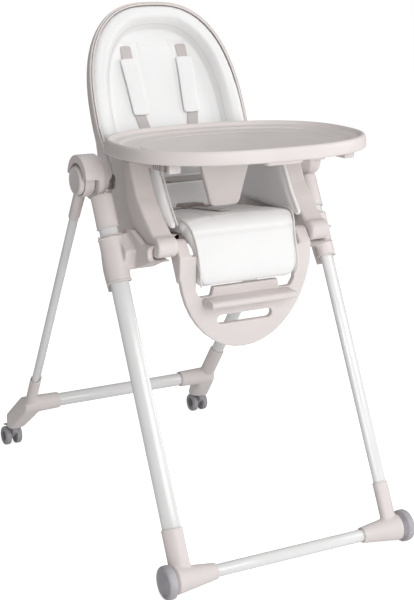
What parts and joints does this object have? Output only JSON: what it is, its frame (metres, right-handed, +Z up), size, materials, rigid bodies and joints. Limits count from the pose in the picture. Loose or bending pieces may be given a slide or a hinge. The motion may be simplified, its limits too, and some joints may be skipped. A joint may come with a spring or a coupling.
{
  "type": "folding baby high chair",
  "caption": "Folding high chair with a sliding seat on A-frame legs, reclining padded back, swinging leg rest, sliding tray and braked casters.",
  "frame": {"origin": "on the floor, under the middle of the chair's bounding box", "axes": "+Z up, -Y towards the front (leg rest and tray), +X towards the sitter's left; X is the line across the chair"},
  "size_m": [0.566, 0.8955, 1.0469],
  "materials": {
    "shell": "satin warm light greige moulded plastic",
    "tube": "gloss white painted oval steel tube",
    "pad": "soft white leatherette over foam",
    "webbing": "greige woven webbing",
    "foot": "matte grey rubber",
    "wheel": "grey nylon",
    "trim": "satin mid grey plastic",
    "pin": "turned steel"
  },
  "bodies": {
    "frame": {"front_leg_left": "tube", "front_leg_right": "tube", "front_foot_left": "shell", "front_foot_right": "shell", "foot_cap_left": "foot", "foot_cap_right": "foot", "front_cross_tube": "tube", "leg_housing_left": "shell", "leg_housing_right": "shell", "fold_pin_left": "pin", "fold_pin_right": "pin"},
    "fold_button_left": {"fold_button_left": "shell"},
    "fold_button_right": {"fold_button_right": "shell"},
    "rear_frame": {"rear_knuckle_left": "shell", "rear_knuckle_right": "shell", "rear_leg_left": "tube", "rear_leg_right": "tube", "rear_foot_left": "shell", "rear_foot_right": "shell", "rear_cross_tube": "tube"},
    "seat": {"seat_slider_left": "shell", "seat_slider_right": "shell", "seat_side_left": "shell", "seat_side_right": "shell", "seat_pan": "shell", "seat_pad": "pad", "side_pad_left": "pad", "side_pad_right": "pad", "waist_straps": "webbing", "harness_buckle": "trim", "crotch_strap": "webbing", "recline_pins": "pin", "legrest_pins": "pin"},
    "backrest": {"backrest_shell": "shell", "recline_arms": "shell", "backrest_pad": "pad", "shoulder_strap_left": "webbing", "shoulder_strap_right": "webbing"},
    "recline_handle": {"recline_handle": "trim"},
    "leg_rest": {"legrest_frame": "shell", "calf_pad": "pad"},
    "foot_ledge": {"foot_ledge": "shell"},
    "tray": {"tray_dish": "shell", "tray_rails": "shell", "crotch_guard": "shell"},
    "tray_release": {"tray_release": "shell"},
    "caster_left": {"caster_body_left": "wheel", "caster_axle_left": "pin"},
    "wheels_left": {"caster_wheels_left": "wheel"},
    "brake_left": {"caster_brake_left": "trim"},
    "height_lever_left": {"height_lever_left": "shell"},
    "tray_latch_left": {"tray_latch_left": "trim"},
    "caster_right": {"caster_body_right": "wheel", "caster_axle_right": "pin"},
    "wheels_right": {"caster_wheels_right": "wheel"},
    "brake_right": {"caster_brake_right": "trim"},
    "height_lever_right": {"height_lever_right": "shell"},
    "tray_latch_right": {"tray_latch_right": "trim"}
  },
  "joints": [
    {"name": "fold_hinge", "type": "hinge", "parent": "frame", "child": "rear_frame", "pos_m": [0, -0.017, 0.724], "axis": [-1, 0, 0], "range_deg": [0, 47]},
    {"name": "fold_button_left_press", "type": "slide", "parent": "rear_frame", "child": "fold_button_left", "axis": [1, 0, 0], "range_m": [0, 0.003], "stiffness_N_per_m": 400},
    {"name": "caster_left_swivel", "type": "hinge", "parent": "rear_frame", "child": "caster_left", "pos_m": [-0.252, 0.405, 0.045], "axis": [0, 0, 1], "continuous": true},
    {"name": "wheels_left_roll", "type": "hinge", "parent": "caster_left", "child": "wheels_left", "pos_m": [-0.252, 0.423, 0.022], "axis": [1, 0, 0], "continuous": true},
    {"name": "brake_left_press", "type": "hinge", "parent": "caster_left", "child": "brake_left", "pos_m": [-0.252, 0.426, 0.0463], "axis": [-1, 0, 0], "range_deg": [0, 10]},
    {"name": "fold_button_right_press", "type": "slide", "parent": "rear_frame", "child": "fold_button_right", "axis": [-1, 0, 0], "range_m": [0, 0.003], "stiffness_N_per_m": 400},
    {"name": "caster_right_swivel", "type": "hinge", "parent": "rear_frame", "child": "caster_right", "pos_m": [0.252, 0.405, 0.045], "axis": [0, 0, 1], "continuous": true},
    {"name": "wheels_right_roll", "type": "hinge", "parent": "caster_right", "child": "wheels_right", "pos_m": [0.252, 0.423, 0.022], "axis": [1, 0, 0], "continuous": true},
    {"name": "brake_right_press", "type": "hinge", "parent": "caster_right", "child": "brake_right", "pos_m": [0.252, 0.426, 0.0463], "axis": [-1, 0, 0], "range_deg": [0, 10]},
    {"name": "seat_height", "type": "slide", "parent": "frame", "child": "seat", "axis": [0, -0.4741, -0.8805], "range_m": [0, 0.25]},
    {"name": "height_lever_left_squeeze", "type": "hinge", "parent": "seat", "child": "height_lever_left", "pos_m": [-0.242, -0.08457, 0.599], "axis": [-1, 0, 0], "range_deg": [0, 4.5], "stiffness_Nm_per_rad": 1},
    {"name": "height_lever_right_squeeze", "type": "hinge", "parent": "seat", "child": "height_lever_right", "pos_m": [0.242, -0.08457, 0.599], "axis": [-1, 0, 0], "range_deg": [0, 4.5], "stiffness_Nm_per_rad": 1},
    {"name": "backrest_recline", "type": "hinge", "parent": "seat", "child": "backrest", "pos_m": [0, 0.092, 0.628], "axis": [-1, 0, 0], "range_deg": [0, 35]},
    {"name": "recline_handle_pull", "type": "slide", "parent": "backrest", "child": "recline_handle", "axis": [0, 0.4384, 0.8988], "range_m": [0, 0.008], "stiffness_N_per_m": 300},
    {"name": "leg_rest_swing", "type": "hinge", "parent": "seat", "child": "leg_rest", "pos_m": [0, -0.186, 0.614], "axis": [-1, 0, 0], "range_deg": [0, 60]},
    {"name": "foot_ledge_slide", "type": "slide", "parent": "leg_rest", "child": "foot_ledge", "axis": [0, -1, 0], "range_m": [0, 0.02]},
    {"name": "tray_slide", "type": "slide", "parent": "seat", "child": "tray", "axis": [0, -0.9994, 0.0349], "range_m": [0, 0.09]},
    {"name": "tray_release_press", "type": "slide", "parent": "tray", "child": "tray_release", "axis": [0, 0.9994, -0.0349], "range_m": [0, 0.006], "stiffness_N_per_m": 200},
    {"name": "tray_latch_left_press", "type": "slide", "parent": "tray", "child": "tray_latch_left", "axis": [1, 0, 0], "range_m": [0, 0.004], "stiffness_N_per_m": 200},
    {"name": "tray_latch_right_press", "type": "slide", "parent": "tray", "child": "tray_latch_right", "axis": [-1, 0, 0], "range_m": [0, 0.004], "stiffness_N_per_m": 200}
  ],
  "couplings": [
    {"joint": "fold_button_right_press", "follows": "fold_button_left_press", "ratio": 1},
    {"joint": "height_lever_right_squeeze", "follows": "height_lever_left_squeeze", "ratio": 1},
    {"joint": "tray_latch_right_press", "follows": "tray_latch_left_press", "ratio": 1}
  ]
}
